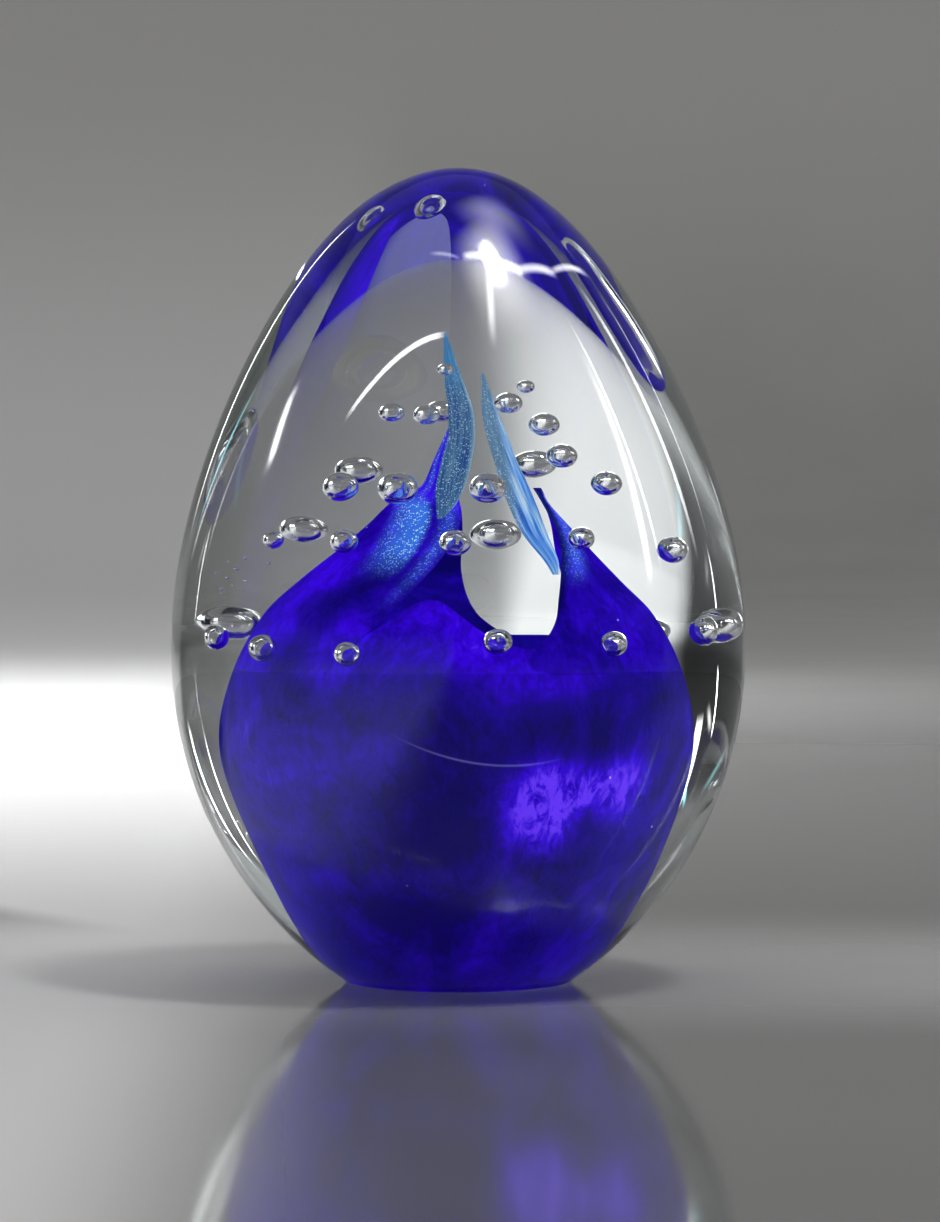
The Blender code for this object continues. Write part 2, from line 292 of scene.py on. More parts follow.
# Colour of each glass from its dark end to its light end, against the tone of its noise.
COBALT_TONES = [(0.26, (0.002, 0.0, 0.100)), (0.42, (0.006, 0.0, 0.21)),
                (0.57, (0.015, 0.0, 0.37)), (0.74, (0.034, 0.0, 0.66)), (0.96, (0.13, 0.035, 1.0))]
TEAL_TONES = [(0.30, (0.015, 0.06, 0.28)), (0.48, (0.05, 0.15, 0.34)), (0.64, (0.12, 0.26, 0.42))]
# The palest sky tones are painted highlights on the right ribbon's streaks.
SKY_TONES = [(0.32, (0.02, 0.12, 0.62)), (0.44, (0.10, 0.32, 0.85)), (0.56, (0.34, 0.60, 0.95)),
             (0.68, (0.74, 0.88, 1.0))]
# Pale violet grey painted on the lower inside of the bowl, as painted light from below.
UNDERLIGHT_BLUE = (0.26, 0.26, 0.46)
AZURE = (0.035, 0.15, 0.66)
SEAM_BLUE = (0.32, 0.28, 0.85)
SPECK_BLUE = (0.45, 0.42, 1.0)
COBALT_FLAKE = (0.50, 0.82, 1.0)
TEAL_FLAKE = (0.62, 0.82, 0.92)
SKY_FLAKE = (0.66, 0.84, 0.95)

# Seam line on the bulb: bearing of its lowest point in radians, height there in millimetres,
# and how fast it climbs to either side.
SEAM_BEARING = 0.28
SEAM_HEIGHT = 26.6
SEAM_CLIMB = 7.55


def polished_glass():
    """Clear crystal: faint handling smears in the gloss, faint waviness, a trace of green."""
    material, tree, shader = new_material("polished_glass")
    place = millimetres(tree)
    shader.inputs["Base Color"].default_value = (1.0, 1.0, 1.0, 1.0)
    shader.inputs["Transmission Weight"].default_value = 1.0
    shader.inputs["IOR"].default_value = GLASS_IOR
    smear = noise_at(tree, place, 0.16, 5.0, 0.6, 0.6)
    rough = add(tree, "ShaderNodeMapRange", {"Value": smear, "From Min": 0.45, "From Max": 0.8,
                                             "To Min": 0.0, "To Max": 0.006})
    tree.links.new(rough.outputs["Result"], shader.inputs["Roughness"])
    wave = noise_at(tree, place, 0.05, 2.0, 0.4)
    tree.links.new(bump(tree, wave, 0.08, 0.0006), shader.inputs["Normal"])
    volume = add(tree, "ShaderNodeVolumeAbsorption", {"Color": (0.84, 0.97, 0.95, 1.0),
                                                      "Density": 5.0})
    out = tree.nodes["Material Output"]
    tree.links.new(volume.outputs["Volume"], out.inputs["Volume"])
    return material


def bubble_air():
    """Skin of a trapped bubble, seen from inside the glass."""
    material = bpy.data.materials.new("bubble_air")
    material.use_nodes = True
    tree = material.node_tree
    tree.nodes.remove(tree.nodes["Principled BSDF"])
    place = millimetres(tree)
    wave = noise_at(tree, place, 0.9, 2.0, 0.5)
    glass = add(tree, "ShaderNodeBsdfGlass", {"Roughness": 0.0, "IOR": 1 / GLASS_IOR,
                                              "Normal": bump(tree, wave, 0.25, 0.0002)})
    tree.links.new(glass.outputs["BSDF"], tree.nodes["Material Output"].inputs["Surface"])
    return material


def seam_mask(tree, place):
    """Hairline round the front of the bulb where the veil was laid over the core."""
    parts = add(tree, "ShaderNodeSeparateXYZ", {"Vector": place})
    front = math(tree, "MULTIPLY", parts.outputs["Y"], -1.0)
    bearing = math(tree, "ARCTAN2", parts.outputs["X"], front)
    away = math(tree, "SUBTRACT", bearing, SEAM_BEARING)
    squared = math(tree, "POWER", math(tree, "ABSOLUTE", away), 2.0)
    level = math(tree, "ADD", math(tree, "MULTIPLY", squared, SEAM_CLIMB), SEAM_HEIGHT)
    gap = math(tree, "ABSOLUTE", math(tree, "SUBTRACT", parts.outputs["Z"], level))
    line = map_range(tree, gap, 0.02, 0.16, 1.0, 0.0)
    start = map_range(tree, away, -0.72, -0.25, 0.0, 0.26)
    end = map_range(tree, away, 0.02, 0.34, 1.0, 0.0)
    return product(tree, line, start, end)


def cobalt_veil_glass():
    """Cobalt colour drawn out in the glass: soft clouds, brush-like marks along the pull, zones
    painted brighter or darker (the glow attribute), partly painted light and shade, painted light
    low on the inside of the bowl, and aqua glitter (the azure attribute), partly painted
    highlights.
    The sheet is opaque and gives off light of its own, which stands for daylight that soaks
    through coloured glass. It has no gloss, because it is fused into the clear glass."""
    material, tree, shader = new_material("cobalt_veil_glass")
    place = millimetres(tree)
    cloud = noise_at(tree, place, 0.10, 4.0, 0.55, 1.3)
    pulled = millimetres(tree, (1.0, 1.0, 0.55), (0.35, 0.25, 0.6))
    brush = noise_at(tree, pulled, 0.55, 7.0, 0.68, 1.8)
    fine = noise_at(tree, pulled, 2.6, 5.0, 0.7, 0.8)
    glow = attribute(tree, "glow")
    azure = attribute(tree, "azure")
    tone = math(tree, "MULTIPLY", cloud, 0.85)
    for layer, share in ((brush, 0.42), (fine, 0.16)):
        uneven = math(tree, "MULTIPLY", math(tree, "SUBTRACT", layer, 0.5), share)
        tone = math(tree, "ADD", tone, uneven)
    # Painted light and shade from the glow attribute, with ragged edges.
    ragged = product(tree, glow, glow, map_range(tree, brush, 0.34, 0.66, -0.85, 0.5))
    tone = math(tree, "ADD", tone, math(tree, "ADD", glow, ragged))
    colour = ramp(tree, tone, COBALT_TONES)
    # Painted light on the lower inside of the bowl, standing for light from below.
    colour = mix(tree, product(tree, attribute(tree, "painted_underlight"), 0.6), colour, UNDERLIGHT_BLUE)
    # Aqua glitter zones from the azure attribute, partly painted highlights.
    patch = math(tree, "MULTIPLY", azure, math(tree, "ADD", brush, 0.45), clamp=True)
    colour = mix(tree, patch, colour, AZURE)
    flakes = product(tree, glitter_mask(tree, place, 6.5, 0.34), patch)
    colour = mix(tree, flakes, colour, COBALT_FLAKE)
    colour = mix(tree, seam_mask(tree, place), colour, SEAM_BLUE)
    specks = glitter_mask(tree, place, 0.45, 0.12, 0.05)
    colour = mix(tree, specks, colour, SPECK_BLUE)
    tree.links.new(colour, shader.inputs["Base Color"])
    tree.links.new(colour, shader.inputs["Emission Color"])
    shader.inputs["Emission Strength"].default_value = 0.75
    shader.inputs["IOR"].default_value = 1.0
    shader.inputs["Roughness"].default_value = 0.6
    tree.links.new(bump(tree, brush, 0.35, 0.0005), shader.inputs["Normal"])
    return material


def teal_ribbon_glass():
    """Left ribbon: teal grey, thick with fine silver flakes, paler along its right edge."""
    material, tree, shader = new_material("teal_glitter_glass")
    coords = add(tree, "ShaderNodeTexCoord")
    along = add(tree, "ShaderNodeMapping", {"Vector": coords.outputs["UV"],
                                            "Scale": (1.5, 10.0, 1.0)})
    streak = noise_at(tree, along.outputs["Vector"], 1.0, 5.0, 0.6, 0.5)
    colour = ramp(tree, streak, TEAL_TONES)
    parts = add(tree, "ShaderNodeSeparateXYZ", {"Vector": coords.outputs["UV"]})
    edge = map_range(tree, parts.outputs["Y"], 0.86, 1.0)
    colour = mix(tree, edge, colour, (0.28, 0.46, 0.58))
    upper = map_range(tree, parts.outputs["X"], 1.7, 2.5)
    colour = mix(tree, upper, colour, (0.07, 0.27, 0.55))
    place = millimetres(tree)
    flakes = product(tree, glitter_mask(tree, place, 7.5, 0.30),
                     math(tree, "SUBTRACT", 1.0, upper))
    colour = mix(tree, product(tree, flakes, 0.75), colour, TEAL_FLAKE)
    return finish_ribbon(tree, shader, colour, flakes, streak, material)


def sky_ribbon_glass():
    """Right ribbon: parallel sky-blue streaks and white ones that are painted highlights, grey
    glitter up its left side.
    """
    material, tree, shader = new_material("sky_streak_glass")
    coords = add(tree, "ShaderNodeTexCoord")
    along = add(tree, "ShaderNodeMapping", {"Vector": coords.outputs["UV"],
                                            "Scale": (1.2, 7.0, 1.0)})
    streak = noise_at(tree, along.outputs["Vector"], 1.0, 4.0, 0.55, 0.3)
    colour = ramp(tree, streak, SKY_TONES)
    parts = add(tree, "ShaderNodeSeparateXYZ", {"Vector": coords.outputs["UV"]})
    side = math(tree, "SUBTRACT", parts.outputs["X"],
                math(tree, "MULTIPLY", parts.outputs["Y"], 1.9))
    grey = map_range(tree, side, 0.35, 1.15)
    colour = mix(tree, grey, colour, (0.14, 0.28, 0.46))
    place = millimetres(tree)
    flakes = product(tree, glitter_mask(tree, place, 7.5, 0.28), grey)
    colour = mix(tree, product(tree, flakes, 0.75), colour, SKY_FLAKE)
    return finish_ribbon(tree, shader, colour, flakes, streak, material)


def finish_ribbon(tree, shader, colour, flakes, streak, material):
    """Shader settings that both ribbons share: opaque, without gloss, and with some light of
    their own, as the cobalt has."""
    tree.links.new(colour, shader.inputs["Base Color"])
    tree.links.new(colour, shader.inputs["Emission Color"])
    shader.inputs["Emission Strength"].default_value = 0.4
    tree.links.new(math(tree, "MULTIPLY", flakes, 0.6), shader.inputs["Metallic"])
    shader.inputs["IOR"].default_value = 1.0
    shader.inputs["Roughness"].default_value = 0.4
    tree.links.new(bump(tree, streak, 0.4, 0.0003), shader.inputs["Normal"])
    return material


# Tones of the sweep, with painted light and shade. The dark wedge of painted shade has its
# bearing, its core and its reach in degrees.
FLOOR_TONES = [(0.3, (0.42, 0.42, 0.415)), (0.7, (0.46, 0.46, 0.455))]
WALL_TONES = [(0.0, (0.15, 0.15, 0.15)), (1.0, (0.60, 0.597, 0.585))]
FRONT_PAINTED_SHADE = (0.05, 0.05, 0.05)
LEFT_PAINTED_LIGHT = (0.86, 0.86, 0.86)
BACK_PAINTED_SHADE = (0.08, 0.08, 0.08)
FLOOR_PAINTED_SHADE = (0.022, 0.022, 0.024)
WALL_PAINTED_SHADE = (0.030, 0.030, 0.032)
DARK_BEARING = -124
DARK_CORE, DARK_REACH = 18, 25
BACK_SLANT = 0.105      # the edge of the back zone runs this far towards -X for each step back


def floor_material():
    """Polished sweep with painted light and shade, in tones from near black to near white. They
    are fixed in the room and chosen for the front view, where the glass bends them into sight: a
    painted pool of light on the left side gives the dome its bright half, painted shade at the
    back its grey half, a wedge of painted shade at the back left the dark right edge of the egg,
    and painted shade in front keeps the cobalt deep. The wall is darker towards the front. From
    other sides they show as patches on the floor."""
    material, tree, shader = new_material("toned_sweep")
    place = millimetres(tree)
    parts = add(tree, "ShaderNodeSeparateXYZ", {"Vector": place})
    x, y, z = (parts.outputs[axis] for axis in "XYZ")
    away = add(tree, "ShaderNodeVectorMath", {0: place}, operation="LENGTH").outputs["Value"]
    grain = noise_at(tree, place, 0.02, 4.0)
    floor = ramp(tree, grain, FLOOR_TONES)
    # Painted shade on the floor in front of the egg.
    front = map_range(tree, y, 5.0, -60.0)
    floor = mix(tree, product(tree, front, 0.70), floor, FRONT_PAINTED_SHADE)
    # Painted pool of light on the floor to the left.
    floor = mix(tree, map_range(tree, x, -8.0, -42.0), floor, LEFT_PAINTED_LIGHT)
    # Painted shade on the floor behind the egg, on its right side.
    aside = math(tree, "ADD", x, math(tree, "MULTIPLY", y, BACK_SLANT))
    back = product(tree, map_range(tree, y, 15.0, 90.0), map_range(tree, aside, -12.0, 12.0),
                   map_range(tree, y, 380.0, 620.0, 1.0, 0.0), 0.72)
    floor = mix(tree, back, floor, BACK_PAINTED_SHADE)
    # Wedge of painted shade at the back left, on the floor and low on the wall.
    bearing = math(tree, "ARCTAN2", x, math(tree, "MULTIPLY", y, -1.0))
    turn = math(tree, "ABSOLUTE", math(tree, "SUBTRACT", bearing, radians(DARK_BEARING)))
    wedge = product(tree, map_range(tree, turn, radians(DARK_CORE), radians(DARK_REACH), 1.0, 0.0),
                    map_range(tree, away, 60.0, 130.0))
    floor = mix(tree, wedge, floor, FLOOR_PAINTED_SHADE)
    depth = add(tree, "ShaderNodeMapRange", {"Value": y, "From Min": -900.0, "From Max": 500.0})
    wall = ramp(tree, depth.outputs["Result"], WALL_TONES)
    low_wedge = product(tree, wedge, map_range(tree, z, 430.0, 620.0, 1.0, 0.0))
    wall = mix(tree, low_wedge, wall, WALL_PAINTED_SHADE)
    tree.links.new(mix(tree, map_range(tree, z, 4.0, 160.0), floor, wall),
                   shader.inputs["Base Color"])
    rough = math(tree, "ADD", map_range(tree, away, 260.0, 560.0, 0.07, 0.55),
                 product(tree, grain, 0.02))
    tree.links.new(rough, shader.inputs["Roughness"])
    shader.inputs["Specular IOR Level"].default_value = 0.2
    return material


# ---------------------------------------------------------------- pieces

def egg_radius(z):
    """Radius of the egg at height z, in metres."""
    half = (HEIGHT - EGG_LOW_END) / 2
    u = (z - EGG_LOW_END) / half - 1
    swell = 1 + EGG_TAPER * u + EGG_SHOULDER * u ** 2 + EGG_TIP * u ** 3
    return EGG_RADIUS * sqrt(max(0.0, (1 - u * u) * swell))


def make_egg(material):
    """The clear egg as one polished body, with a small rounded edge round the ground base."""
    around = EGG_AROUND
    half = (HEIGHT - EGG_LOW_END) / 2
    low = acos((FOOT_EDGE - EGG_LOW_END) / half - 1)
    outline = []
    for i in range(1, EGG_RINGS + 1):
        z = EGG_LOW_END + half * (1 + cos(low * i / EGG_RINGS))
        outline.append((egg_radius(z), z))
    foot = egg_radius(FOOT_EDGE)
    for i in range(1, FOOT_STEPS + 1):
        a = pi / 2 * i / FOOT_STEPS
        inset = 0.9 * MM * (1 - cos(a)) + 0.25 * MM * sin(a)
        outline.append((foot - inset, FOOT_EDGE * (1 - sin(a))))
    base = outline[-1][0]
    outline += [(base * share, 0.0) for share in (0.985, 0.6, 0.25)]
    verts = [(0.0, 0.0, HEIGHT)]
    for r, z in outline:
        lean = EGG_LEAN * smoothstep(45 * MM, 85 * MM, z) * (1 - smoothstep(86 * MM, 90 * MM, z))
        for k in range(around):
            a = 2 * pi * k / around
            verts.append((r * sin(a) + lean, -r * cos(a), z))
    verts.append((0.0, 0.0, 0.0))
    faces = [(0, 1 + k, 1 + (k + 1) % around) for k in range(around)]
    for j in range(len(outline) - 1):
        a0 = 1 + j * around
        b0 = a0 + around
        for k in range(around):
            n = (k + 1) % around
            faces.append((a0 + k, b0 + k, b0 + n, a0 + n))
    a0 = 1 + (len(outline) - 1) * around
    end = len(verts) - 1
    faces += [(a0 + k, end, a0 + (k + 1) % around) for k in range(around)]
    egg = new_piece("egg_glass", verts, faces, material)
    fix_normals(egg)
    egg.data.set_sharp_from_angle(angle=radians(35))
    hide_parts("outer_casing", "middle_gather", "clear_core")
    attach(egg, "root")


def ripple(bearing, z):
    """Slow unevenness of the hand-worked veil, in millimetres."""
    a = radians(bearing)
    slow = noise.noise(Vector((cos(a) * 1.7, sin(a) * 1.7, z * 0.09)))
    return RIPPLE * slow * smoothstep(4, 16, z)


def close_sheet(name, outer, inner, material, uvs):
    """Close two grids of points, an outer and an inner face, into one solid sheet."""
    rows = len(outer)
    cols = len(outer[0])
    verts = [p for row in outer for p in row] + [p for row in inner for p in row]
    uv_all = [uv for row in uvs for uv in row] * 2
    shift = rows * cols
    faces = []
    for j in range(rows - 1):
        for i in range(cols - 1):
            a, b = j * cols + i, j * cols + i + 1
            c, d = b + cols, a + cols
            faces.append((a, b, c, d))
            faces.append((shift + a, shift + d, shift + c, shift + b))
    low_rim = [(i, i + 1) for i in range(cols - 1)]
    top_rim = [((rows - 1) * cols + i + 1, (rows - 1) * cols + i) for i in range(cols - 1)]
    left_rim = [((j + 1) * cols, j * cols) for j in range(rows - 1)]
    right_rim = [(j * cols + cols - 1, (j + 1) * cols + cols - 1) for j in range(rows - 1)]
    for a, b in low_rim + top_rim + left_rim + right_rim:
        faces.append((a, shift + a, shift + b, b))
    return new_piece(name, verts, faces, material, uv_all)


# Zones of the bulb painted brighter (+) or darker (-): bearing, height, half widths in degrees and
# millimetres, amount. The two bright ones low on the right are painted light, sunlight focused
# through the glass from behind.
VEIL_ZONES = [
    (29, 22.6, 15, 4.6, 0.66),
    (58, 24.6, 17, 3.0, 0.46),
    (44, 29.5, 30, 3.2, -0.10),
    (-8, 15.0, 38, 9.0, -0.14),
    (-62, 31.0, 22, 6.0, -0.05),
    (64, 13.0, 14, 5.0, 0.08),
    (-80, 16.0, 16, 9.0, 0.02),
]


def veil_glow(bearing, z, top):
    """How much brighter the bulb is painted: zones, partly painted light, and a painted lit band
    below the front of the lip.
    """
    bearing = (bearing + 180) % 360 - 180
    front = exp(-((bearing - 2) / 55) ** 4)
    glow = 0.24 * front * exp(-((top - z - 1.5) / 4.0) ** 2)
    for at, height, wide, tall, amount in VEIL_ZONES:
        away = ((bearing - at) / wide) ** 2 + ((z - height) / tall) ** 2
        glow += amount * exp(-away ** 1.5)
    return glow


def make_bowl(material):
    """Cobalt bulb with a wavy, thinned lip; the floor is closed on the ground base."""
    around, rows = BOWL_AROUND, BOWL_ROWS
    outer, inner, glow = [], [], []
    for j in range(rows + 1):
        v = j / rows
        line_out, line_in = [], []
        for i in range(around):
            bearing = 360 * i / around
            top = lip_height(bearing)
            z = BOWL_FOOT + (top - BOWL_FOOT) * v
            proud = ripple(bearing, z)
            body = 1 - smoothstep(top - 2.5, top, z)
            thick = 0.35 + 0.65 * body
            line_out.append(veil_point(z, bearing, proud - 0.15 * (1 - body)))
            line_in.append(veil_point(z, bearing, proud - thick))
            # Painted light on the bulb as brighter colour, and darker zones.
            glow.append(veil_glow(bearing, z, top))
        outer.append(line_out)
        inner.append(line_in)
    inner[0] = [Vector((p.x * 0.9, p.y * 0.9, p.z + BOWL_FLOOR * MM)) for p in inner[0]]
    verts = [p for row in outer for p in row] + [p for row in inner for p in row]
    count = (rows + 1) * around
    faces = []
    for j in range(rows):
        for i in range(around):
            n = (i + 1) % around
            a, b = j * around + i, j * around + n
            c, d = b + around, a + around
            faces.append((a, b, c, d))
            faces.append((count + a, count + d, count + c, count + b))
    top = rows * around
    for i in range(around):
        n = (i + 1) % around
        faces.append((top + i, top + n, count + top + n, count + top + i))
    verts += [Vector((0, 0, BOWL_FOOT * MM)), Vector((0, 0, (BOWL_FOOT + BOWL_FLOOR) * MM))]
    for i in range(around):
        n = (i + 1) % around
        faces.append((i, len(verts) - 2, n))
        faces.append((count + i, count + n, len(verts) - 1))
    bowl = new_piece("cobalt_bowl_glass", verts, faces, material)
    fix_normals(bowl)
    paint(bowl, "glow", glow + [0.0] * (count + 2))
    # Painted light on the lower inside of the bowl, standing for light from below, fading out
    # upwards.
    inner_height = [p.z / MM for p in verts[count:2 * count]]
    painted_underlight = [1 - smoothstep(*UNDERLIGHT_FADE, z) for z in inner_height]
    paint(bowl, "painted_underlight", [0.0] * count + painted_underlight + [0.0, 1.0])
    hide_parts("cobalt_bowl")
    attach(bowl, "root")


# Arms: height, left and right edge bearing, how proud each edge stands, in millimetres.
ARM_LEFT = [
    (31.0, -121, -48, 0.0, 0.0),
    (34.0, -120, -45, 0.0, 0.0),
    (37.0, -119, -39, 0.0, 0.15),
    (40.0, -116, -29, 0.0, 0.5),
    (43.0, -111, -20, 0.0, 0.6),
    (46.0, -101, -11, 0.0, 0.5),
    (48.5, -98, -5, 0.1, 0.3),
    (50.3, -94, -4, 0.25, 0.2),
    (51.5, -74, -8, 0.0, 0.1),
    (52.7, -60, -14, -0.1, 0.0),
    (55.0, -66, -20, 0.0, 0.0),
    (57.4, -64, -26, 0.0, 0.0),
    (59.8, -50, -36, 0.0, 0.0),
]
ARM_BACK = [
    (30.0, -203, -117, 0.0, 0.0),
    (33.5, -199, -118, 0.0, 0.0),
    (37.0, -192, -122, 0.0, 0.0),
    (39.5, -184, -124, 0.0, 0.0),
    (43.0, -180.5, -128, 0.0, 0.0),
    (46.5, -179, -136, 0.0, 0.0),
    (49.0, -176, -150, -0.4, -0.4),
    (51.0, -170, -160, -1.0, -1.0),
]
ARM_RIGHT = [
    (30.0, 12, 157, 0.0, 0.0),
    (33.5, 17, 156, 0.0, 0.0),
    (37.0, 24, 153, 0.0, 0.0),
    (39.5, 34, 150, 0.1, 0.0),
    (42.5, 43, 147, 0.2, 0.0),
    (45.5, 54, 141, 0.3, 0.0),
    (48.0, 66, 131, 0.3, 0.1),
    (50.0, 78, 119, 0.3, 0.3),
    (52.0, 91, 94, 0.7, 0.7),
]


def left_arm_paint(bearing, z, left, right, s):
    """Glitter patch, partly a painted highlight, on the front of the left arm, a glittering
    crease, and streaks above.
    """
    inward = radians(right - bearing) * veil_radius(z)
    patch = smoothstep(2.3, 3.1, inward) * (1 - smoothstep(3.6, 7.5, inward))
    patch *= smoothstep(44.0, 47.5, z) * (1 - smoothstep(50.6, 52.0, z))
    crease = exp(-((inward - 1.0) / 0.55) ** 2) * smoothstep(41, 47, z)
    crease *= 1 - smoothstep(50.5, 53, z)
    drawn = 0.45 * smoothstep(50.5, 54, z) * (0.5 + 0.5 * sin(2 * pi * 3.5 * s + 0.6 * z))
    glow = 0.13 + 0.10 * smoothstep(48, 53, z) - 0.20 * exp(-((s - 0.72) / 0.10) ** 2)
    return glow, min(1.0, 0.95 * patch + 0.32 * crease + drawn)


def back_arm_paint(bearing, z, left, right, s):
    """A little darker at the foot, with a painted highlight and glitter towards the tip."""
    return -0.08 + 0.22 * smoothstep(46, 51, z), 0.20 * smoothstep(49, 51, z)


def right_arm_paint(bearing, z, left, right, s):
    """Painted shadow of the curled fold along the left edge, then a painted lit azure band near
    the tip.
    """
    inward = radians(bearing - left) * veil_radius(z)
    # Painted shadow of the curled fold, darkening the colour along the left edge.
    fold = exp(-(inward / 0.55) ** 2) * smoothstep(38, 44, z)
    band = exp(-((inward - 2.0) / 1.2) ** 2) * smoothstep(43, 46.5, z)
    return 0.12 - 0.35 * fold + 0.22 * band, 0.55 * band


def make_arm(name, nodes, rows, painter, material):
    """Cobalt arm: a thin sheet on the veil's outline between two edges, blended in at its foot."""
    along, across = ARM_ALONG, ARM_ACROSS
    outer, inner, uvs, glow, azure = [], [], [], [], []
    for j in range(along + 1):
        v = j / along
        z, left, right, proud_left, proud_right = curve_through(rows, v)
        line_out, line_in, line_uv = [], [], []
        for i in range(across + 1):
            s = i / across
            bearing = left + (right - left) * s
            edge = (2 * abs(s - 0.5)) ** 6
            foot = -0.5 * (1 - smoothstep(rows[0][0], rows[0][0] + 4.5, z))
            proud = foot + 0.04 * smoothstep(35, 37, z)
            proud += proud_left * (1 - s) ** 3 + proud_right * s ** 3
            proud += ripple(bearing, z)
            thick = 0.8 * (1 - 0.55 * edge) * (1 - 0.4 * v) * (1 - 0.75 * smoothstep(0.86, 1, v))
            line_out.append(veil_point(z, bearing, proud - 0.2 * edge * smoothstep(35, 38, z)))
            line_in.append(veil_point(z, bearing, max(proud - thick, 0.1 - veil_radius(z))))
            line_uv.append((v * 3, s))
            thin, aqua = painter(bearing, z, left, right, s)
            glow.append(thin)
            azure.append(aqua)
        outer.append(line_out)
        inner.append(line_in)
        uvs.append(line_uv)
    arm = close_sheet(name, outer, inner, material, uvs)
    fix_normals(arm)
    paint(arm, "glow", glow * 2)
    paint(arm, "azure", azure * 2)
    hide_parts(*nodes)
    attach(arm, "root")


# Ribbons: x, y, z of the centre, width, turn of the flat side in degrees.
RIBBON_LEFT = [
    (-1.45, -6.0, 49.7, 0.5, 10),
    (-1.0, -5.5, 51.0, 1.55, 10),
    (-0.6, -4.8, 52.9, 2.35, 8),
    (-0.1, -3.9, 55.3, 2.35, 4),
    (0.25, -3.0, 57.7, 2.1, -2),
    (0.15, -2.3, 60.2, 1.95, -6),
    (-0.3, -1.6, 62.7, 1.5, -10),
    (-0.7, -1.0, 65.2, 0.9, -14),
    (-0.9, -0.8, 66.8, 0.5, -15),
    (-1.1, -0.7, 68.1, 0.14, -15),
]
RIBBON_RIGHT = [
    (8.05, -7.6, 44.5, 0.55, 44),
    (7.6, -6.9, 45.8, 1.4, 44),
    (6.25, -5.8, 48.1, 2.35, 43),
    (5.3, -4.8, 50.4, 2.6, 40),
    (4.45, -4.0, 52.8, 2.4, 36),
    (3.65, -3.2, 55.2, 1.95, 32),
    (2.95, -2.3, 57.6, 1.7, 28),
    (2.35, -1.5, 60.0, 1.2, 24),
    (2.05, -0.9, 62.0, 0.65, 22),
    (1.75, -0.5, 63.8, 0.14, 20),
]


def make_ribbon(name, node, rows, pleats, material):
    """Drawn ribbon: a thin pleated section lofted along its centre line."""
    along, across = RIBBON_ALONG, RIBBON_ACROSS
    outer, inner, uvs = [], [], []
    for j in range(along + 1):
        v = j / along
        x, y, z, width, turn = curve_through(rows, v)
        a = radians(turn)
        flat = Vector((cos(a), sin(a), 0))
        out = Vector((sin(a), -cos(a), 0))
        centre = Vector((x, y, z))
        line_out, line_in, line_uv = [], [], []
        for i in range(across + 1):
            s = i / across
            edge = (2 * abs(s - 0.5)) ** 4
            fold = 0.16 * sin(2 * pi * (pleats * s + 1.2 * v)) * (1 - edge) * min(1.0, width / 2)
            bow = 0.35 * (1 - (2 * s - 1) ** 2) * min(1.0, width / 2.5)
            thick = 0.32 * (1 - 0.6 * edge)
            mid = centre + flat * width * (s - 0.5)
            line_out.append((mid + out * (bow + fold + thick / 2)) * MM)
            line_in.append((mid + out * (bow + fold - thick / 2)) * MM)
            line_uv.append((v * 3, s))
        outer.append(line_out)
        inner.append(line_in)
        uvs.append(line_uv)
    ribbon = close_sheet(name, outer, inner, material, uvs)
    fix_normals(ribbon)
    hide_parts(node)
    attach(ribbon, "root")


def make_bubble(node, material):
    """Trapped bubble: a slightly squashed and tapered sphere inside its CAD stand-in's box."""
    low, high = (Vector(c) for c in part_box(node))
    centre = (low + high) / 2
    radius = (high.z - low.z) / 2
    around, rings = BUBBLE_AROUND, BUBBLE_RINGS
    seed = sum(ord(c) for c in node)
    verts, faces = [], []
    for j in range(rings + 1):
        b = pi * j / rings
        for k in range(around):
            a = 2 * pi * k / around
            d = Vector((sin(b) * sin(a), -sin(b) * cos(a), cos(b)))
            wobble = 1 + 0.035 * noise.noise(d * 1.3 + Vector((seed, 0, 0)))
            taper = 1 + 0.03 * d.z
            verts.append(centre + Vector((d.x * 1.04 * taper, d.y * 1.04 * taper, d.z * 0.94))
                         * radius * wobble)
            if j in (0, rings):
                break

    def index(j, k):
        if j == 0:
            return 0
        if j == rings:
            return len(verts) - 1
        return 1 + (j - 1) * around + k % around

    for j in range(rings):
        for k in range(around):
            ring = [index(j, k), index(j + 1, k), index(j + 1, k + 1), index(j, k + 1)]
            ring = list(dict.fromkeys(ring))
            if len(ring) > 2:
                faces.append(tuple(ring))
    bubble = new_piece(node.replace("bubble", "air_bubble"), verts, faces, material)
    fix_normals(bubble)
    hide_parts(node)
    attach(bubble, "root")


# Seeds: a loose trail of tiny bubbles in the clear glass on the left, in millimetres.
SEEDS = [
    (-19.2, 0.4, 44.1, 0.14), (-18.2, -0.3, 45.2, 0.10), (-18.1, 0.2, 43.6, 0.17),
    (-17.1, 0.6, 44.4, 0.20), (-16.7, -0.5, 45.5, 0.16), (-16.4, 0.1, 43.3, 0.15),
    (-18.9, -0.4, 42.6, 0.16), (-18.5, 0.5, 42.1, 0.11), (-14.4, 0.3, 44.9, 0.15),
    (-17.7, -0.2, 42.9, 0.10), (-16.5, 0.4, 42.4, 0.09),
]


def make_seeds(material):
    """All the seed bubbles as one mesh."""
    bm = bmesh.new()
    for x, y, z, r in SEEDS:
        size = Matrix.Diagonal((r * 1.25 * MM, r * 1.1 * MM, r * 0.85 * MM, 1.0))
        place = Matrix.Translation(Vector((x, y, z)) * MM)
        bmesh.ops.create_uvsphere(bm, u_segments=20, v_segments=12, radius=1.0,
                                  matrix=place @ size)
    mesh = bpy.data.meshes.new("seed_bubbles")
    bm.to_mesh(mesh)
    bm.free()
    mesh.shade_smooth()
    mesh.materials.append(material)
    seeds = bpy.data.objects.new("seed_bubbles", mesh)
    bpy.context.scene.collection.objects.link(seeds)
    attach(seeds, "root")


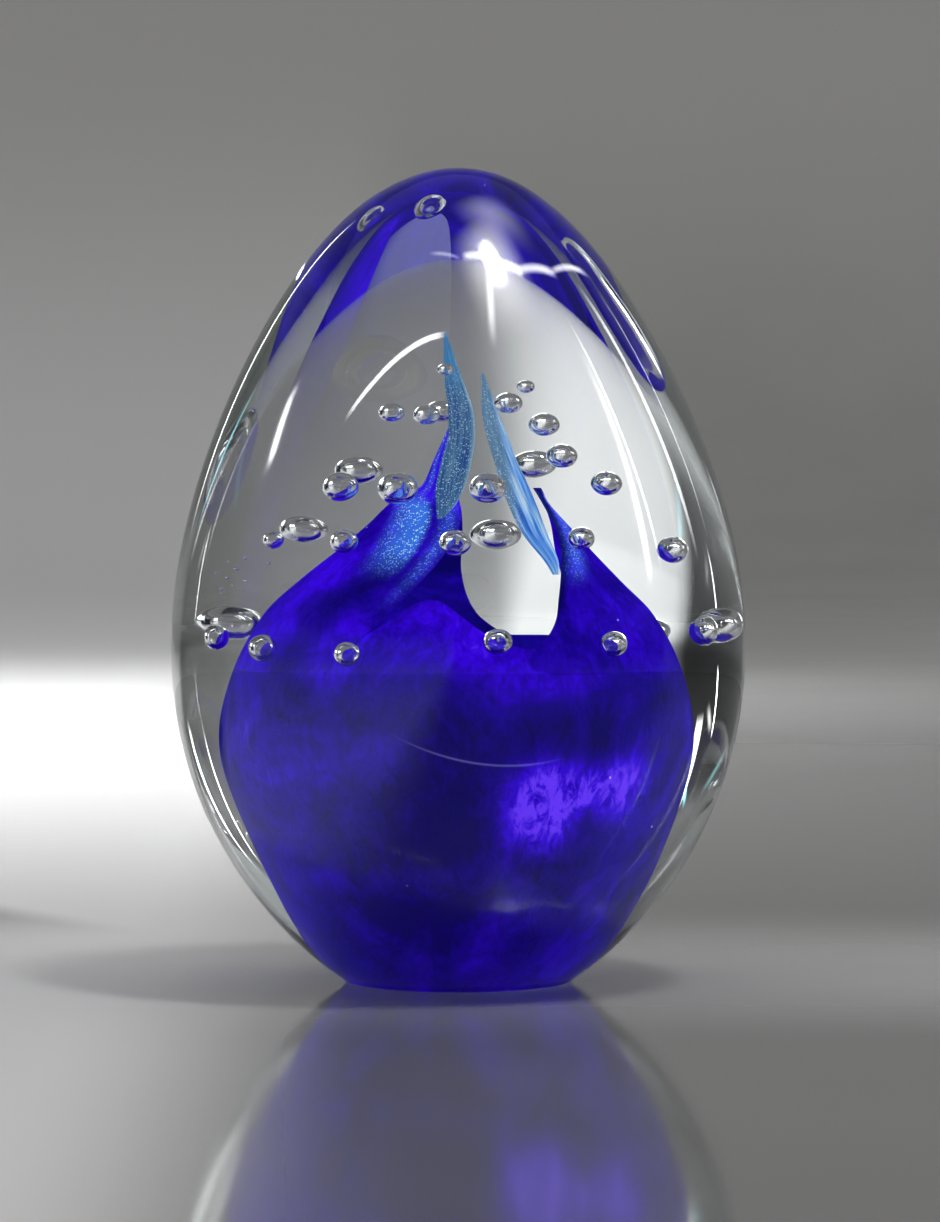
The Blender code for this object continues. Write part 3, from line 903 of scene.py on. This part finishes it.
# ---------------------------------------------------------------- stage, light, camera

# Round sweep, in metres: flat floor out to its edge, the curve up, and the wall.
SWEEP_AROUND = 96
SWEEP_EDGE = 0.92
SWEEP_CURVE = 0.60
SWEEP_STEPS = 48
WALL_TOP = 1.10

# Lamps stand round the middle of the egg. Bearings and elevations are in degrees.
KEY_DISTANCE = 0.55
HALO_DISTANCE = 0.60
FLARE_DISTANCE = 0.62
STRIP_DISTANCE = 0.80
PANE_DISTANCE = 0.85
TEAL = (0.3, 0.8, 0.9)
PALE_TEAL = (0.3, 0.8, 0.8)

# Flares of the key light: two ends (bearing, elevation), width, radiance, softness.
FLARES = [
    ((54, 70), (80, 60), 0.050, 22.0, (0.4, 1.0)),
    ((73, 62.6), (106, 49), 0.034, 14.0, (0.5, 1.0)),
    ((98, 52.5), (132, 34), 0.020, 9.0, (0.6, 1.0)),
    ((54, 72), (10, 76), 0.044, 14.0, (0.6, 1.0)),
    ((14, 75), (-50, 73.5), 0.022, 5.0, (0.7, 1.0)),
    ((50, 71), (27, 54), 0.050, 12.0, (0.8, 1.0)),
    ((54, 70), (72, 77), 0.040, 14.0, (0.7, 1.0)),
]
# Thin strips seen in the glass: name, two ends, width, radiance, softness, colour.
STRIPS = [
    ("arc_strip", (-63, 37), (-7, 58), 0.020, 18.0, (0.3, 0.6), (1, 1, 1)),
    ("right_strip_a", (91, 10), (91, 47), 0.022, 12.0, (0.6, 0.8), (1, 1, 1)),
    ("right_strip_b", (116, 8), (116, 42), 0.040, 9.0, (0.6, 0.8), (1, 1, 1)),
    ("right_strip_c", (128, 8), (129, 34), 0.012, 6.0, (0.6, 0.8), (1, 1, 1)),
    ("right_rim", (145, 16), (142, 27), 0.030, 34.0, (0.5, 0.8), (1, 1, 1)),
    ("left_rim", (-151, 3), (-151, 32), 0.025, 8.0, (0.5, 0.8), (1, 1, 1)),
    ("left_line", (-129, -1), (-128, 10), 0.008, 14.0, (0.6, 0.8), (1, 1, 1)),
    ("left_teal", (-143, 5), (-131, 21), 0.022, 4.0, (0.8, 1.0), TEAL),
    ("edge_glow", (-133, 4), (-129, 9), 0.030, 1.1, (1.0, 1.0), (1, 1, 1)),
    ("edge_teal", (-124, 20), (-110, 14), 0.050, 0.7, (1.0, 1.0), PALE_TEAL),
]
# Tall soft panes behind the left shoulder: left and right bearing, radiance.
WINDOW_PANES = [(-171, -157, 5.5), (-154, -147, 3.6), (-144, -140, 2.0), (-137, -134, 1.6)]
PANE_LOW, PANE_HIGH = 5, 22


def make_floor():
    """Round sweep: a flat floor that curves up all round into a low wall."""
    around = SWEEP_AROUND
    r, z = SWEEP_EDGE, 0.0
    profile = [(0.2, 0.0), (0.5, 0.0), (0.8, 0.0), (r, z)]
    for i in range(SWEEP_STEPS):
        lean = pi / 2 * smoothstep(0, 1, (i + 0.5) / SWEEP_STEPS)
        r += cos(lean) * SWEEP_CURVE / SWEEP_STEPS
        z += sin(lean) * SWEEP_CURVE / SWEEP_STEPS
        profile.append((r, z))
    profile.append((r, WALL_TOP))
    verts = [(0, 0, 0)]
    for r, z in profile:
        verts += [(r * sin(2 * pi * k / around), -r * cos(2 * pi * k / around), z)
                  for k in range(around)]
    faces = [(0, 1 + k, 1 + (k + 1) % around) for k in range(around)]
    for j in range(len(profile) - 1):
        low = 1 + j * around
        for k in range(around):
            n = (k + 1) % around
            faces.append((low + k, low + around + k, low + around + n, low + n))
    floor = new_piece("floor", verts, faces, floor_material())


def direction(bearing, elevation):
    """Unit vector from the egg; bearing in degrees from the front, + to +X."""
    b, e = radians(bearing), radians(elevation)
    return Vector((sin(b) * cos(e), -cos(b) * cos(e), sin(e)))


def fade_edges(data, soft):
    """Let a lamp's brightness fall off smoothly towards its edges."""
    data.use_nodes = True
    tree = data.node_tree
    spot = add(tree, "ShaderNodeNewGeometry").outputs["Parametric"]
    parts = add(tree, "ShaderNodeSeparateXYZ", {"Vector": spot})
    level = None
    for axis, share in zip("XY", soft):
        inward = math(tree, "SUBTRACT", 0.5,
                      math(tree, "ABSOLUTE", math(tree, "SUBTRACT", parts.outputs[axis], 0.5)))
        fade = add(tree, "ShaderNodeMapRange", {"Value": inward, "From Max": share / 2},
                   interpolation_type="SMOOTHSTEP").outputs["Result"]
        level = fade if level is None else math(tree, "MULTIPLY", level, fade)
    tree.links.new(level, tree.nodes["Emission"].inputs["Strength"])


def strip_lamp(name, start, end, distance, width, radiance, soft=(0.3, 0.6), colour=(1, 1, 1),
               lights_floor=False):
    """Soft-edged lamp stretched between two directions (bearing, elevation) from the egg. It is
    seen in gloss and through glass, and lights matt surfaces only where lights_floor is set."""
    middle = Vector((0, 0, HEIGHT / 2))
    a = middle + direction(*start) * distance
    b = middle + direction(*end) * distance
    centre = (a + b) / 2
    along = (b - a).normalized()
    out = (centre - middle).normalized()
    side = out.cross(along).normalized()
    out = along.cross(side)
    data = bpy.data.lights.new(name, "AREA")
    data.shape = "RECTANGLE"
    data.size, data.size_y = (b - a).length, width
    data.energy = 4 * radiance * data.size * data.size_y
    data.color = colour
    fade_edges(data, soft)
    lamp = bpy.data.objects.new(name, data)
    bpy.context.scene.collection.objects.link(lamp)
    lamp.matrix_world = Matrix((along, side, out)).transposed().to_4x4()
    lamp.location = centre
    lamp.visible_diffuse = lights_floor
    return lamp


def light_floor_only(lamp, place=None):
    """Point a lamp straight down and hide it from the gloss and from the glass."""
    lamp.rotation_euler = (0.0, 0.0, 0.0)
    if place is not None:
        lamp.location = place
    lamp.visible_glossy = False
    lamp.visible_transmission = False


def make_key():
    """Key light above the right shoulder, with its halo, its flares and a sheen on the cap. All
    but the key itself show only as reflections, and are hidden from rays through the glass."""
    strip_lamp("overhead_key", (40, 71), (70, 68), KEY_DISTANCE, 0.15, 70.0, (1.0, 1.0),
               lights_floor=True)
    glints = [strip_lamp("key_halo", (8, 67), (92, 60), HALO_DISTANCE, 0.36, 11.0, (1.0, 1.0)),
              strip_lamp("cap_sheen", (60, 88), (125, 55), HALO_DISTANCE, 0.30, 3.0, (1.0, 1.0))]
    for number, (start, end, wide, level, soft) in enumerate(FLARES):
        glints.append(strip_lamp(f"key_flare_{number + 1}", start, end, FLARE_DISTANCE, wide,
                                 level, soft))
    for glint in glints:
        glint.visible_transmission = False


def make_strips():
    """Strips that give the dome and the rims their bright lines. The right rim's strip shows
    only as a reflection, because through the glass it would cross the dome."""
    for name, start, end, wide, level, soft, colour in STRIPS:
        strip = strip_lamp(name, start, end, STRIP_DISTANCE, wide, level, soft, colour)
        if name == "right_rim":
            strip.visible_transmission = False


def make_panes():
    """Soft panes seen through the right half of the glass, and hidden from its reflections."""
    for number, (left, right, radiance) in enumerate(WINDOW_PANES):
        wide = 2 * PANE_DISTANCE * tan(radians(right - left) / 2)
        at = (left + right) / 2
        pane = strip_lamp(f"window_pane_{number + 1}", (at, PANE_LOW), (at, PANE_HIGH),
                          PANE_DISTANCE, wide, radiance, (0.3, 0.15))
        pane.visible_glossy = False


def make_floor_lamps():
    """A pool of light behind the egg on the left, and a wide soft fill from above."""
    pool = strip_lamp("floor_pool", (-178, 50), (-150, 50), HALO_DISTANCE, 0.18, 22.0, (1.0, 1.0),
                      lights_floor=True)
    pool.data.spread = radians(64)
    light_floor_only(pool)
    fill = strip_lamp("room_fill", (-90, 40), (90, 40), 1.0, 1.1, 0.95, (0.2, 0.2),
                      lights_floor=True)
    light_floor_only(fill, (0.0, 0.12, 0.90))


def make_world():
    """Dim even room light, a little darker overhead."""
    world = bpy.data.worlds.new("studio")
    bpy.context.scene.world = world
    world.use_nodes = True
    tree = world.node_tree
    coords = add(tree, "ShaderNodeTexCoord")
    parts = add(tree, "ShaderNodeSeparateXYZ", {"Vector": coords.outputs["Generated"]})
    height = add(tree, "ShaderNodeMapRange", {"Value": parts.outputs["Z"], "From Min": -1.0,
                                              "From Max": 1.0})
    sky = ramp(tree, height.outputs["Result"],
               [(0.0, (0.20, 0.20, 0.20)), (0.75, (0.22, 0.22, 0.225)),
                (1.0, (0.16, 0.16, 0.165))])
    tree.links.new(sky, tree.nodes["Background"].inputs["Color"])
    tree.nodes["Background"].inputs["Strength"].default_value = 0.95


def make_camera():
    """Long lens a little above the middle of the egg, tipped slightly down."""
    data = bpy.data.cameras.new("camera")
    data.sensor_width = 36.0
    data.lens = 186.8
    data.clip_start = 0.01
    camera = bpy.data.objects.new("camera", data)
    bpy.context.scene.collection.objects.link(camera)
    camera.location = (0.0013, -0.700, 0.0745)
    camera.rotation_euler = (radians(90 - 2.73), 0, 0)
    bpy.context.scene.camera = camera


def main():
    bpy.context.scene.view_settings.view_transform = "Standard"
    cobalt = cobalt_veil_glass()
    make_egg(polished_glass())
    make_bowl(cobalt)
    make_arm("veil_arm_left_glass", ("veil_arm_left", "cobalt_strand"), ARM_LEFT,
             left_arm_paint, cobalt)
    make_arm("veil_arm_back_glass", ("veil_arm_back",), ARM_BACK, back_arm_paint, cobalt)
    make_arm("veil_arm_right_glass", ("veil_arm_right",), ARM_RIGHT, right_arm_paint, cobalt)
    make_ribbon("ribbon_left_glass", "aqua_ribbon_left", RIBBON_LEFT, 2.4, teal_ribbon_glass())
    make_ribbon("ribbon_right_glass", "aqua_ribbon_right", RIBBON_RIGHT, 3.2, sky_ribbon_glass())
    air = bubble_air()
    for node in sorted(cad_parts):
        if node.startswith("bubble_"):
            make_bubble(node, air)
    make_seeds(air)
    make_floor()
    make_key()
    make_strips()
    make_panes()
    make_floor_lamps()
    make_world()
    make_camera()


main()
